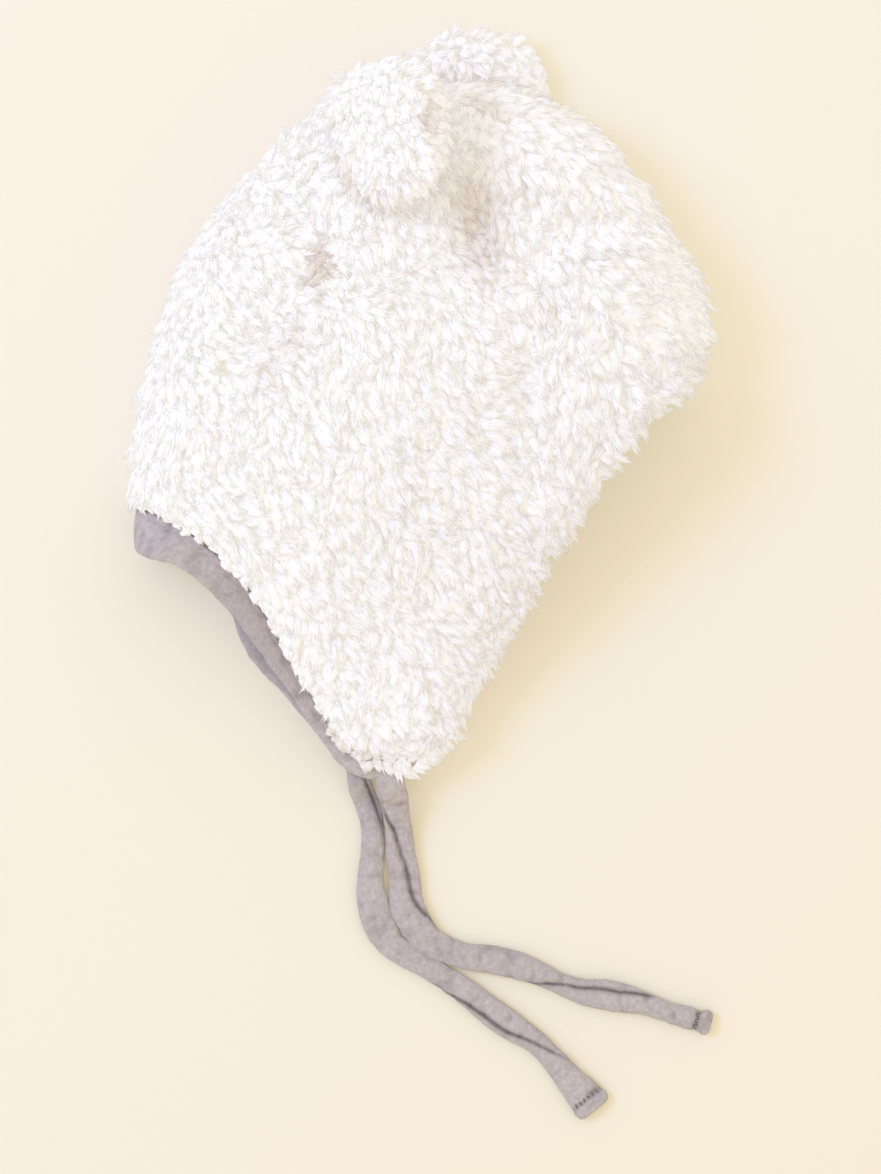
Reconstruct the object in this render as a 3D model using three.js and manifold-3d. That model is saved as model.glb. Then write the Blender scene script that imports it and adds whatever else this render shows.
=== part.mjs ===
// A baby's hat of white teddy fleece with two ears, a grey jersey edging and two grey jersey ties.
// It lies on its side as it does on a table: forehead to the left, nape to the right, crown up the page.
// Millimetres, +Z up, +X from forehead to nape, +Y from the ties to the crown.
// The origin is under the middle of the hat, ties left out, on the surface that it lies on.

import * as THREE from "three";
import { mergeVertices } from "three/addons/utils/BufferGeometryUtils.js";
import Module from "manifold-3d";

const wasm = await Module();
wasm.setup();

// Driving sizes of the fleece body.
const hatWidth = 203; // forehead fold to nape fold, over the backing
const hatHeight = 246; // tip of the ear flap to the top of the crown, over the backing
const crownPuff = 44; // top of the crown over the table
const tipPuff = 14; // top of the ear flap's tip over the table
const foldRise = 14; // height at which the cloth folds from the near side to the far side
const domeReach = 50; // run from the fold to the full height of the near side
const crownReach = 135; // run from the flap's tip to the full height of the crown
const underReach = 15; // run from the fold to the flat underside
const wall = 3.5; // backing with the foot of the pile
const lockHeight = 5; // a lock of pile over the backing
const lockLean = 0.3; // how far up its cell a lock's tip sits, as a share of the cell
const lockDrift = 0.3; // how far sideways the tips wander, as a share of the cell
const lockSpread = 0.5; // how much the heights of the locks vary
const earLockHeight = 3; // the shorter pile of the ears
const earHeart = 0.3; // the point that the ears' locks stand away from, as a share of the ear's height
const bareUnderside = 2; // below this height the pile lies pressed flat on the table
const farSlip = { across: -4.5, up: -1.5 }; // how far the far flap has slid out under the near one

// Driving sizes of the ears, the edging and the ties.
const earWidth = 52; // at its widest, halfway up
const earHeight = 33; // from the seam to the rim
const earThickness = 17;
const earFootWidth = 42; // along the seam, at the seam itself
const earCup = 5; // how far the sides of an ear curl forward
const farEarThickness = 14; // pressed between the hat and the table
const earSunk = 1; // how far an ear reaches into the pile before it is trimmed to the hat
const foreheadEdgingWidth = 16; // at the fold of the forehead
const edgingWidth = 10.6; // where it shows, along the cheek
const flapEdgingWidth = 5.5; // where it runs down to the flap's tip
const napeEdgingWidth = 8.7; // under the pile, from the tip and along the neck
const edgingThickness = 4.4;
const tieWidth = 9.2;
const tieThickness = 4;
const seam = 0.3; // clearance between pieces that are sewn together

// How finely the cloth is divided.
const sections = 34; // across each side
const rows = 26; // from the mouth to the crown
const liningStep = 2; // the inner skin has one row for this many of the outer one
const columnCrowding = 0.55; // how much narrower the columns get towards the folds
const rowCrowding = 1.25; // how much shorter the rows get towards the crown
const earRings = 7; // from the seam to the rim of an ear
const earSides = 16; // round an ear
const tieSides = 8;
const tieSteps = 36; // along each tie

// Outlines of the flat-lying backing, in shares of the hat's width and height from the flap's corner.
const frontFold = [
  { across: 0.0, up: 0.373 },
  { across: 0.012, up: 0.473 },
  { across: 0.048, up: 0.605 },
  { across: 0.106, up: 0.734 },
  { across: 0.206, up: 0.846 },
  { across: 0.323, up: 0.934 },
];
const crownFold = [
  { across: 0.323, up: 0.934 },
  { across: 0.419, up: 0.995 },
  { across: 0.561, up: 0.985 },
  { across: 0.703, up: 0.965 },
  { across: 0.824, up: 0.898 },
];
const napeFold = [
  { across: 0.984, up: 0.59 },
  { across: 1.0, up: 0.64 },
  { across: 0.973, up: 0.71 },
  { across: 0.913, up: 0.792 },
  { across: 0.824, up: 0.898 },
];
const mouthLine = [
  { across: 0.0, up: 0.373 },
  { across: 0.109, up: 0.327 },
  { across: 0.199, up: 0.258 },
  { across: 0.27, up: 0.16 },
  { across: 0.332, up: 0.068 },
  { across: 0.386, up: 0.016 },
  { across: 0.451, up: 0.0 },
  { across: 0.518, up: 0.022 },
  { across: 0.568, up: 0.095 },
  { across: 0.648, up: 0.21 },
  { across: 0.745, up: 0.355 },
  { across: 0.862, up: 0.498 },
  { across: 0.984, up: 0.59 },
];

// Dents and folds of the near side. Place, length and width are shares of the hat's width and height,
// turn is the way the fold runs, in degrees from +X, and rise is a share of the crown's height.
const folds = [
  { name: "behind the ear", across: 0.6, up: 0.8, turn: 98, length: 0.085, width: 0.048, rise: -0.24 },
  { name: "before the ear", across: 0.327, up: 0.735, turn: 100, length: 0.065, width: 0.035, rise: -0.12 },
  { name: "forehead valley", across: 0.229, up: 0.6, turn: 70, length: 0.12, width: 0.05, rise: -0.1 },
  { name: "ridge under the ear", across: 0.434, up: 0.68, turn: 100, length: 0.14, width: 0.07, rise: 0.12 },
  { name: "nape valley", across: 0.698, up: 0.55, turn: 88, length: 0.16, width: 0.045, rise: -0.11 },
  { name: "nape fold", across: 0.766, up: 0.75, turn: 10, length: 0.09, width: 0.03, rise: -0.08 },
  { name: "crown notch", across: 0.522, up: 0.955, turn: 90, length: 0.04, width: 0.035, rise: -0.16 },
  { name: "back of the crown", across: 0.844, up: 0.7, turn: 60, length: 0.12, width: 0.08, rise: 0.08 },
];

// Where each ear is sewn on: the foot of its seam in shares of the hat, the way the seam runs, in
// degrees from +X, and how far the ear leans from upright towards its front, in degrees. The far ear
// lies under the crown, and its place is that of the crown's fold.
const nearEar = { across: 0.409, up: 0.897, seamTurn: 90, lean: -50, thickness: earThickness };
const farEar = { across: 0.6, up: 1.005, seamTurn: -6, lean: 90, thickness: farEarThickness };
const farEarLift = 7.2; // middle of the far ear over the table
const farEarShow = 0.42; // share of the far ear that shows past the crown

// Routes of the ties, from the flap to the hem, in millimetres in the plane of the table, and the
// height of the middle of the tie over it.
const nearTieRoute = [
  [92.2, -9.9, 12.0],
  [92.8, -12.0, 11.2],
  [93.5, -13.5, 10.2],
  [94.1, -19.1, 7.2],
  [95.2, -26.1, 4.2],
  [95.8, -34.9, 2.6],
  [97.2, -43.7, 2.2],
  [98.3, -52.5, 2.2],
  [101.8, -59.8, 2.2],
  [106.6, -65.6, 2.2],
  [113.4, -69.2, 2.2],
  [120.9, -71.8, 2.2],
  [128.8, -73.4, 2.2],
  [137.6, -75.4, 2.2],
  [146.3, -78.5, 2.2],
  [154.1, -82.2, 2.2],
  [162.3, -85.1, 2.2],
  [172.5, -86.6, 2.2],
  [183.2, -89.0, 2.2],
  [193.4, -92.5, 2.2],
  [201.2, -94.8, 2.2],
  [208.8, -96.8, 2.2],
];
const farTieRoute = [
  [80.3, -12.3, 2.3],
  [82.1, -15.6, 2.2],
  [84.2, -20.9, 2.2],
  [85.2, -27.7, 2.2],
  [85.4, -35.5, 2.2],
  [84.8, -43.2, 2.2],
  [85.2, -50.5, 2.2],
  [87.3, -58.8, 2.2],
  [91.2, -66.5, 2.2],
  [97.4, -71.6, 2.2],
  [105.0, -75.9, 2.2],
  [112.9, -80.6, 2.2],
  [120.6, -85.9, 2.2],
  [128.3, -92.1, 2.2],
  [136.9, -98.1, 2.2],
  [145.0, -103.5, 2.2],
  [151.3, -109.8, 2.2],
  [157.1, -116.8, 2.2],
  [162.3, -122.6, 2.2],
  [166.8, -128.2, 2.2],
];

const white = { color: 0xf4f1ec, roughness: 0.95, metalness: 0 };
const grey = { color: 0xaaa2a4, roughness: 0.9, metalness: 0 };

// A number from 0 to 1 that is always the same for the same two whole numbers.
function scatter(i, j) {
  const value = Math.sin(i * 12.9898 + j * 78.233) * 43758.5453;
  return value - Math.floor(value);
}

function smooth(low, high, value) {
  return THREE.MathUtils.smoothstep(value, low, high);
}

// A quarter circle: 0 at the edge, 1 where the share reaches 1.
function rounded(share) {
  const left = 1 - Math.min(Math.max(share, 0), 1);
  return Math.sqrt(1 - left * left);
}

function outline(table, slip = null) {
  const points = table.map(({ across, up }, i) => {
    const slide = slip ? Math.sin((Math.PI * i) / (table.length - 1)) ** 2 : 0;
    const x = across * hatWidth + slide * (slip ? slip.across : 0);
    const y = up * hatHeight + slide * (slip ? slip.up : 0);
    return new THREE.Vector2(x, y);
  });
  return new THREE.SplineCurve(points);
}

const frontCurve = outline(frontFold);
const crownCurve = outline(crownFold);
const napeCurve = outline(napeFold);
const nearMouth = outline(mouthLine);
const farMouth = outline(mouthLine, farSlip);
const foldPoints = [frontCurve, crownCurve, napeCurve].map((curve) => curve.getPoints(48));

function distanceToFold(point) {
  const line = new THREE.Line3();
  const nearest = new THREE.Vector3();
  const at = new THREE.Vector3(point.x, point.y, 0);
  let best = Infinity;
  for (const points of foldPoints) {
    for (let i = 1; i < points.length; i++) {
      line.start.set(points[i - 1].x, points[i - 1].y, 0);
      line.end.set(points[i].x, points[i].y, 0);
      line.closestPointToPoint(at, true, nearest);
      best = Math.min(best, nearest.distanceTo(at));
    }
  }
  return best;
}

// The cloth is a patch stretched between its mouth, its two upright folds and its crown fold.
function onPatch(mouth, share, height) {
  const low = mouth.getPoint(share);
  const high = crownCurve.getPoint(share);
  const front = frontCurve.getPoint(height);
  const nape = napeCurve.getPoint(height);
  const corner = (name) => {
    const between = (a, b) => a * (1 - share) + b * share;
    const foot = between(mouth.points[0][name], mouth.points.at(-1)[name]);
    const head = between(crownCurve.points[0][name], crownCurve.points.at(-1)[name]);
    return foot * (1 - height) + head * height;
  };
  const place = (name) => {
    const upright = low[name] * (1 - height) + high[name] * height;
    const level = front[name] * (1 - share) + nape[name] * share;
    return upright + level - corner(name);
  };
  return new THREE.Vector2(place("x"), place("y"));
}

function foldHeight(point) {
  let total = 0;
  for (const fold of folds) {
    const turn = THREE.MathUtils.degToRad(fold.turn);
    const dx = point.x - fold.across * hatWidth;
    const dy = point.y - fold.up * hatHeight;
    const along = (dx * Math.cos(turn) + dy * Math.sin(turn)) / (fold.length * hatHeight);
    const aside = (dy * Math.cos(turn) - dx * Math.sin(turn)) / (fold.width * hatWidth);
    total += fold.rise * crownPuff * Math.exp(-along * along - aside * aside);
  }
  return total;
}

function nearHeight(point) {
  const inward = distanceToFold(point);
  const full = tipPuff + (crownPuff - tipPuff) * smooth(0, crownReach, point.y);
  const dome = foldRise + (full - foldRise) * rounded(inward / domeReach);
  return dome + foldHeight(point) * rounded(inward / underReach);
}

function farHeight(point) {
  return foldRise * (1 - rounded(distanceToFold(point) / underReach));
}

const around = 2 * sections;

// The columns crowd together towards the folds, and the rows towards the crown.
function columnShare(i) {
  const share = i / sections;
  return share - (columnCrowding * Math.sin(2 * Math.PI * share)) / (2 * Math.PI);
}

function rowShare(j) {
  return 1 - (1 - j / rows) ** rowCrowding;
}

// At the crown fold the far side ends on the near side's own points.
function vertexAt(j, k) {
  const turned = ((k % around) + around) % around;
  return j === rows && turned > sections ? j * around + around - turned : j * around + turned;
}

function clothPoint(j, k) {
  const near = k <= sections;
  const share = columnShare(near ? k : around - k);
  const flat = onPatch(near ? nearMouth : farMouth, share, rowShare(j));
  const edge = k === 0 || k === sections || j === rows;
  const height = edge ? foldRise : near ? nearHeight(flat) : farHeight(flat);
  return new THREE.Vector3(flat.x, flat.y, height);
}

// The smooth outer skin: its points and, at each of them, the way that faces out.
function outerSkin() {
  const points = [];
  const index = [];
  for (let j = 0; j <= rows; j++) {
    for (let k = 0; k < around; k++) points.push(clothPoint(j, k));
  }
  for (let j = 0; j < rows; j++) {
    for (let k = 0; k < around; k++) {
      const [a, b] = [vertexAt(j, k), vertexAt(j, k + 1)];
      const [d, c] = [vertexAt(j + 1, k), vertexAt(j + 1, k + 1)];
      index.push(a, b, c, a, c, d);
    }
  }
  const geometry = new THREE.BufferGeometry().setFromPoints(points).setIndex(index);
  geometry.computeVertexNormals();
  const facing = geometry.getAttribute("normal");
  const normals = points.map((_, i) => new THREE.Vector3().fromBufferAttribute(facing, i));
  return { points, normals };
}

const skin = outerSkin();

function earFoot(ear) {
  return new THREE.Vector2(ear.across * hatWidth, ear.up * hatHeight);
}

// The pile is parted under the near ear, so that the ear sits on the backing.
function underEar(point) {
  const foot = earFoot(nearEar);
  const halfSeam = 0.5 * earWidth + seam;
  const halfThickness = 0.5 * earThickness + seam;
  return Math.abs(point.y - foot.y) < halfSeam && Math.abs(point.x - foot.x) < halfThickness;
}

// Draws the skins of the hat. With growth the outer skin stands proud by it, and the hat is filled.
class Drape {
  constructor(growth) {
    this.growth = growth;
    this.points = [];
    this.index = [];
  }

  add(point) {
    this.points.push(point);
    return this.points.length - 1;
  }

  outer(j, k) {
    return vertexAt(j, k);
  }

  lock(corners, j, k) {
    const [a, b, c, d] = corners.map((i) => this.points[i]);
    const drift = 0.5 + lockDrift * (scatter(j, k) - 0.5);
    const foot = new THREE.Vector3().lerpVectors(a, b, drift);
    const head = new THREE.Vector3().lerpVectors(d, c, drift);
    const middle = foot.lerp(head, lockLean);
    const out = skin.normals[corners[0]].clone().add(skin.normals[corners[2]]).normalize();
    const height = lockHeight * (1 + lockSpread * (scatter(k, j) - 0.5)) + this.growth;
    const tip = middle.addScaledVector(out, height);
    tip.z = Math.max(tip.z, 0);
    const top = this.add(tip);
    corners.forEach((corner, i) => this.index.push(corner, corners[(i + 1) % 4], top));
  }

  skinOutside() {
    skin.points.forEach((point, i) => this.add(point.clone().addScaledVector(skin.normals[i], this.growth)));
    for (let j = 0; j < rows; j++) {
      for (let k = 0; k < around; k++) {
        const corners = [vertexAt(j, k), vertexAt(j, k + 1), vertexAt(j + 1, k + 1), vertexAt(j + 1, k)];
        const lowest = Math.min(...corners.map((i) => skin.points[i].z));
        const middle = this.points[corners[0]].clone().lerp(this.points[corners[2]], 0.5);
        const shaggy = lowest > bareUnderside && !underEar(middle);
        if (shaggy) this.lock(corners, j, k);
        else this.index.push(corners[0], corners[1], corners[2], corners[0], corners[2], corners[3]);
      }
    }
  }

  skinInside() {
    const inner = new Map();
    const at = (j, k) => {
      const i = vertexAt(j, k);
      const under = skin.points[i].clone().addScaledVector(skin.normals[i], -wall);
      if (!inner.has(i)) inner.set(i, this.add(under));
      return inner.get(i);
    };
    for (let j = 0; j < rows; j += liningStep) {
      const next = Math.min(j + liningStep, rows);
      for (let k = 0; k < around; k++) {
        this.index.push(at(j, k), at(next, k + 1), at(j, k + 1), at(j, k), at(next, k), at(next, k + 1));
      }
    }
    for (let k = 0; k < around; k++) {
      const [a, b] = [vertexAt(0, k), vertexAt(0, k + 1)];
      this.index.push(a, at(0, k), at(0, k + 1), a, at(0, k + 1), b);
    }
  }

  closeMouth() {
    for (let k = 0; k < sections; k++) {
      const [a, b] = [vertexAt(0, k), vertexAt(0, k + 1)];
      const [d, c] = [vertexAt(0, around - k), vertexAt(0, around - k - 1)];
      if (k > 0) this.index.push(a, d, c);
      if (k < sections - 1) this.index.push(a, c, b);
    }
  }

  geometry() {
    return new THREE.BufferGeometry().setFromPoints(this.points).setIndex(this.index);
  }
}

function bodyGeometry() {
  const drape = new Drape(0);
  drape.skinOutside();
  drape.skinInside();
  return drape.geometry();
}

// What stands between the ears and the hat: the hat filled and grown by the clearance of a seam.
function seatGeometry() {
  const drape = new Drape(seam);
  drape.skinOutside();
  drape.closeMouth();
  return drape.geometry();
}

function solidOf(geometry) {
  const bare = new THREE.BufferGeometry();
  bare.setAttribute("position", geometry.getAttribute("position"));
  if (geometry.index) bare.setIndex(geometry.index);
  const merged = mergeVertices(bare, 1e-4);
  const mesh = new wasm.Mesh({
    numProp: 3,
    vertProperties: new Float32Array(merged.getAttribute("position").array),
    triVerts: new Uint32Array(merged.index.array),
  });
  return new wasm.Manifold(mesh);
}

function geometryOf(solid) {
  const { vertProperties, triVerts } = solid.getMesh();
  const geometry = new THREE.BufferGeometry();
  geometry.setAttribute("position", new THREE.BufferAttribute(vertProperties, 3));
  return geometry.setIndex(new THREE.BufferAttribute(triVerts, 1));
}

// An ear before it is trimmed to the hat: a padded half oval, seam along X, rim up, front to +Y.
function earGeometry(thickness, sink) {
  const points = [];
  const index = [];
  const add = (point) => points.push(point) - 1;
  const earPoint = (ring, side) => {
    const rise = ring < 0 ? 0 : (0.5 * Math.PI * ring) / earRings;
    const turn = (2 * Math.PI * side) / earSides;
    const widest = THREE.MathUtils.lerp(earFootWidth, earWidth, smooth(0, 0.5, ring / earRings));
    const x = 0.5 * widest * Math.cos(rise) ** 0.6 * Math.cos(turn);
    const curl = earCup * ((2 * x) / earWidth) ** 2;
    const y = 0.5 * thickness * Math.cos(rise) ** 0.5 * Math.sin(turn) + curl;
    return new THREE.Vector3(x, y, ring < 0 ? -sink : earHeight * Math.sin(rise));
  };
  const ringIds = [];
  for (let ring = -1; ring < earRings; ring++) {
    ringIds.push(Array.from({ length: earSides }, (_, side) => add(earPoint(ring, side))));
  }
  const rim = add(new THREE.Vector3(0, 0, earHeight));
  const foot = add(new THREE.Vector3(0, 0, -sink));
  const inside = new THREE.Vector3(0, 0, earHeart * earHeight);
  const tuft = (corners, ring, side) => {
    const middle = new THREE.Vector3();
    corners.forEach((i) => middle.addScaledVector(points[i], 1 / corners.length));
    const out = middle.clone().sub(inside);
    out.y *= earWidth / earThickness;
    out.normalize();
    const height = earLockHeight * (1 + lockSpread * (scatter(ring, side) - 0.5));
    const top = add(middle.addScaledVector(out, height));
    corners.forEach((corner, i) => index.push(corner, corners[(i + 1) % corners.length], top));
  };
  for (let side = 0; side < earSides; side++) {
    const next = (side + 1) % earSides;
    for (let ring = 0; ring < earRings; ring++) {
      const [low, high] = [ringIds[ring], ringIds[ring + 1]];
      const corners = [low[side], low[next], high[next], high[side]];
      if (ring === 0) index.push(corners[0], corners[1], corners[2], corners[0], corners[2], corners[3]);
      else tuft(corners, ring, side);
    }
    index.push(ringIds[earRings][side], ringIds[earRings][next], rim);
    index.push(ringIds[0][next], ringIds[0][side], foot);
  }
  return new THREE.BufferGeometry().setFromPoints(points).setIndex(index);
}

function layFlat(geometry, floor) {
  const position = geometry.getAttribute("position");
  for (let i = 0; i < position.count; i++) position.setZ(i, Math.max(position.getZ(i), floor));
  return geometry;
}

function placedEar(ear, lift, sink) {
  const foot = earFoot(ear);
  const seamWay = new THREE.Matrix4().makeRotationZ(THREE.MathUtils.degToRad(ear.seamTurn));
  const lean = new THREE.Matrix4().makeRotationX(THREE.MathUtils.degToRad(-ear.lean));
  const place = new THREE.Matrix4().makeTranslation(foot.x, foot.y, lift);
  return earGeometry(ear.thickness, sink).applyMatrix4(place.multiply(seamWay).multiply(lean));
}

const seat = solidOf(seatGeometry());

function earMesh(name, geometry) {
  const trimmed = solidOf(geometry).subtract(seat);
  const pieces = trimmed.decompose().sort((a, b) => b.volume() - a.volume());
  return meshOf(name, geometryOf(pieces[0]), white);
}

function nearEarMesh() {
  const foot = earFoot(nearEar);
  return earMesh("ear_near", placedEar(nearEar, nearHeight(foot) - earSunk, 0.5 * earThickness));
}

function farEarMesh() {
  const show = farEarShow * earHeight;
  const geometry = placedEar(farEar, farEarLift, earSunk);
  geometry.translate(0, show - earHeight, 0);
  return earMesh("ear_far", layFlat(geometry, 0));
}

function meshOf(name, geometry, look) {
  const mesh = new THREE.Mesh(geometry, new THREE.MeshStandardMaterial(look));
  mesh.name = name;
  return mesh;
}

// The edging is a padded band that carries on from the cut edge of the cloth, all round the mouth.
const edgingProfile = [
  { out: 0, up: -0.32 },
  { out: 0.16, up: -0.5 },
  { out: 0.78, up: -0.5 },
  { out: 1, up: -0.2 },
  { out: 1, up: 0.2 },
  { out: 0.78, up: 0.5 },
  { out: 0.16, up: 0.5 },
  { out: 0, up: 0.32 },
];

function edgingWidthAt(share) {
  const cheek = THREE.MathUtils.lerp(foreheadEdgingWidth, edgingWidth, smooth(0, 0.1, share));
  const flap = THREE.MathUtils.lerp(cheek, flapEdgingWidth, smooth(0.22, 0.31, share));
  return THREE.MathUtils.lerp(flap, napeEdgingWidth, smooth(0.36, 0.415, share));
}

function edgingGeometry() {
  const points = [];
  const index = [];
  const count = edgingProfile.length;
  for (let k = 0; k < around; k++) {
    const i = vertexAt(0, k);
    const normal = skin.normals[i];
    const edge = skin.points[i].clone().addScaledVector(normal, -0.5 * wall);
    const before = skin.points[vertexAt(0, k - 1)];
    const after = skin.points[vertexAt(0, k + 1)];
    const along = after.clone().sub(before).normalize();
    const out = new THREE.Vector3().crossVectors(along, normal).normalize();
    const width = edgingWidthAt(columnShare(k <= sections ? k : around - k));
    for (const { out: reach, up } of edgingProfile) {
      const point = edge.clone().addScaledVector(out, seam + reach * width);
      point.addScaledVector(normal, up * edgingThickness);
      point.z = Math.max(point.z, 0);
      points.push(point);
    }
  }
  for (let k = 0; k < around; k++) {
    const next = (k + 1) % around;
    for (let i = 0; i < count; i++) {
      const [a, b] = [k * count + i, k * count + ((i + 1) % count)];
      const [d, c] = [next * count + i, next * count + ((i + 1) % count)];
      index.push(a, c, b, a, d, c);
    }
  }
  return new THREE.BufferGeometry().setFromPoints(points).setIndex(index);
}

// A path whose frames keep level, so that what runs along it doesn't turn over.
class LevelPath extends THREE.CatmullRomCurve3 {
  computeFrenetFrames(segments) {
    const frames = { tangents: [], normals: [], binormals: [] };
    const up = new THREE.Vector3(0, 0, 1);
    for (let i = 0; i <= segments; i++) {
      const tangent = this.getTangentAt(i / segments);
      const binormal = new THREE.Vector3().crossVectors(tangent, up).normalize();
      frames.tangents.push(tangent);
      frames.binormals.push(binormal);
      frames.normals.push(new THREE.Vector3().crossVectors(binormal, tangent));
    }
    return frames;
  }
}

// A tie is a flat tube of folded jersey.
function tieGeometry(route) {
  const path = new LevelPath(route.map(([x, y, z]) => new THREE.Vector3(x, y, z)));
  const corners = Array.from({ length: tieSides }, (_, i) => {
    const turn = (2 * Math.PI * (i + 0.5)) / tieSides;
    const squared = (value) => Math.sign(value) * Math.abs(value) ** 0.6;
    const thick = 0.5 * tieThickness * squared(Math.cos(turn));
    const wide = 0.5 * tieWidth * squared(Math.sin(turn));
    return new THREE.Vector2(thick, wide);
  });
  const section = new THREE.Shape(corners);
  return new THREE.ExtrudeGeometry(section, { steps: tieSteps, extrudePath: path, bevelEnabled: false });
}

const hat = new THREE.Group();
hat.add(meshOf("fleece_body", bodyGeometry(), white));
hat.add(nearEarMesh());
hat.add(farEarMesh());
hat.add(meshOf("edging", edgingGeometry(), grey));

// The origin goes under the middle of the hat before the ties are added.
const bounds = new THREE.Box3().setFromObject(hat);
const middle = bounds.getCenter(new THREE.Vector3());
hat.add(meshOf("tie_near", tieGeometry(nearTieRoute), grey));
hat.add(meshOf("tie_far", tieGeometry(farTieRoute), grey));
hat.position.set(-middle.x, -middle.y, 0);

const group = new THREE.Group();
group.add(hat);
export default group;
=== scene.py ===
"""A baby's hat of white teddy fleece with ears, a jersey edging and jersey ties, lying on its side.

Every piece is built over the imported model: the backing, the pile, the ears, the edging and the ties.
Lengths are in metres, in the frame of the model.
"""

import math

import bmesh
import bpy
import numpy as np
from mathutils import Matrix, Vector, kdtree, noise
from mathutils.bvhtree import BVHTree


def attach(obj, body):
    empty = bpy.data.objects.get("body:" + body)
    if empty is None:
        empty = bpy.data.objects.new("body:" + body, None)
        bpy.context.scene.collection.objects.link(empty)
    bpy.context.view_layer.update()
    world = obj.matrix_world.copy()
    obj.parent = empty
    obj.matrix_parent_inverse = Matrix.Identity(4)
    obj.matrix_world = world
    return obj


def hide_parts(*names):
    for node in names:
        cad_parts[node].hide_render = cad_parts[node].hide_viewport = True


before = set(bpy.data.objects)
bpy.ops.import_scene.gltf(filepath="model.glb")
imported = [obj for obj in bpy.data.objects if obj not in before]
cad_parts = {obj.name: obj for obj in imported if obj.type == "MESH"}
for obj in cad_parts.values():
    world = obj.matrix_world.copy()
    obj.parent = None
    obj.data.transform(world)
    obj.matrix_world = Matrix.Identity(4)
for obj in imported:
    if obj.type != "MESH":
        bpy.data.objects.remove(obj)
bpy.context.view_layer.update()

MM = 0.001

# The picture: its size, its scale at a level just over the ties, and where its middle falls.
PICTURE_PIXELS = (881, 1174)
METRES_PER_PIXEL = 0.36 * MM
PICTURE_LEVEL = 15 * MM
PICTURE_MIDDLE = (8.87 * MM, -64.05 * MM)
CAMERA_HEIGHT = 1.1
NEAREST_SEEN = 0.05
SENSOR = 36.0

# The light: a broad cool window to the left, and a warm room all round.
WINDOW_PLACE = (-1.6, 0.55, 1.7)
WINDOW_AIM = (0.0, -0.02, 0.0)
WINDOW_SIZE = 1.1
WINDOW_POWER = 31.0
WINDOW_COLOUR = (0.22, 0.36, 0.87)
ROOM_COLOUR = (1.0, 0.925, 0.74, 1.0)
LIGHT_BOUNCES = 16
DIFFUSE_BOUNCES = 12

# The table top: half its width, how far it lies below the hat, and the gap that cloth keeps over it.
TABLE_HALF = 6.0
TABLE_DROP = 0.1 * MM
TABLE_GAP = 0.05 * MM

# The board of the table: from where to where its tone changes, a painted light that leaves it lighter and
# cooler towards the far side, and the light that it spreads itself, a painted glow.
BOARD_REACH = (-0.28, 0.16)
BOARD_GLOW = 0.22
BOARD_GLOW_COLOUR = (1.0, 0.86, 0.45, 1.0)

# The corner that the part measures its outlines and routes from.
FLAP_CORNER = (-101.428 * MM, -126.333 * MM)

# The mouth of the hat from the forehead fold by the flap's tip to the nape fold, from that corner.
MOUTH_LINE = [
    (0.0, 0.0918),
    (0.0221, 0.0804),
    (0.0404, 0.0635),
    (0.0548, 0.0394),
    (0.0674, 0.0167),
    (0.0784, 0.0039),
    (0.0916, 0.0),
    (0.1052, 0.0054),
    (0.1153, 0.0234),
    (0.1315, 0.0517),
    (0.1512, 0.0873),
    (0.175, 0.1225),
    (0.1998, 0.1451),
]
MOUTH_STEP = 0.5 * MM

# The ties: routes from the same corner, which end where the ties end in the picture.
NEAR_TIE_ROUTE = [
    (0.0918, -0.0035, 0.0124),
    (0.0921, -0.0075, 0.0125),
    (0.0925, -0.0102, 0.0118),
    (0.0928, -0.012, 0.0112),
    (0.0935, -0.0135, 0.0102),
    (0.0941, -0.0191, 0.0072),
    (0.0952, -0.0261, 0.0042),
    (0.0958, -0.0349, 0.0026),
    (0.0972, -0.0437, 0.0022),
    (0.0978, -0.0528, 0.0022),
    (0.1011, -0.0605, 0.0022),
    (0.106, -0.0665, 0.0022),
    (0.113, -0.07, 0.0022),
    (0.1206, -0.0724, 0.0022),
    (0.1288, -0.0734, 0.0022),
    (0.1376, -0.0754, 0.0022),
    (0.1463, -0.0785, 0.0022),
    (0.1541, -0.0822, 0.0022),
    (0.1623, -0.0851, 0.0022),
    (0.1725, -0.0866, 0.0022),
    (0.1832, -0.089, 0.0022),
    (0.1934, -0.0925, 0.0022),
    (0.2012, -0.0948, 0.0022),
    (0.2088, -0.0968, 0.0022),
]
FAR_TIE_ROUTE = [
    (0.0803, -0.0035, 0.0068),
    (0.0808, -0.0075, 0.0062),
    (0.0818, -0.0123, 0.0034),
    (0.0832, -0.0156, 0.0022),
    (0.0849, -0.0209, 0.0022),
    (0.0857, -0.0277, 0.0022),
    (0.0856, -0.0355, 0.0022),
    (0.0848, -0.0432, 0.0022),
    (0.0852, -0.0505, 0.0022),
    (0.0873, -0.0588, 0.0022),
    (0.0912, -0.0665, 0.0022),
    (0.0974, -0.0716, 0.0022),
    (0.105, -0.0759, 0.0022),
    (0.1129, -0.0806, 0.0022),
    (0.1206, -0.0859, 0.0022),
    (0.1283, -0.0921, 0.0022),
    (0.1369, -0.0981, 0.0022),
    (0.145, -0.1035, 0.0022),
    (0.1513, -0.1098, 0.0022),
    (0.1571, -0.1168, 0.0022),
    (0.1623, -0.1226, 0.0022),
    (0.1668, -0.1282, 0.0022),
]

# The tube of a tie: its usual width and thickness, how finely it is drawn, and how far its end rounds.
TIE_WIDTH = 9.2 * MM
TIE_THICKNESS = 3.7 * MM
TIE_STEP = 0.8 * MM
TIE_SIDES = 48
TIE_END = 1.3 * MM
ROUTE_STEPS = 24

# The rucks in a tie, long and fine: how far apart they come along it, and how high they stand. Then how dark
# the rucks are painted, a painted shade, and how far across the tie the painted shade of the crease reaches.
LONG_RUCK = (3.2 * MM, 0.45 * MM)
FINE_RUCK = (1.4 * MM, 0.2 * MM)
RUCK_SHADE = 0.42
CREASE_REACH = 0.16

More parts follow.
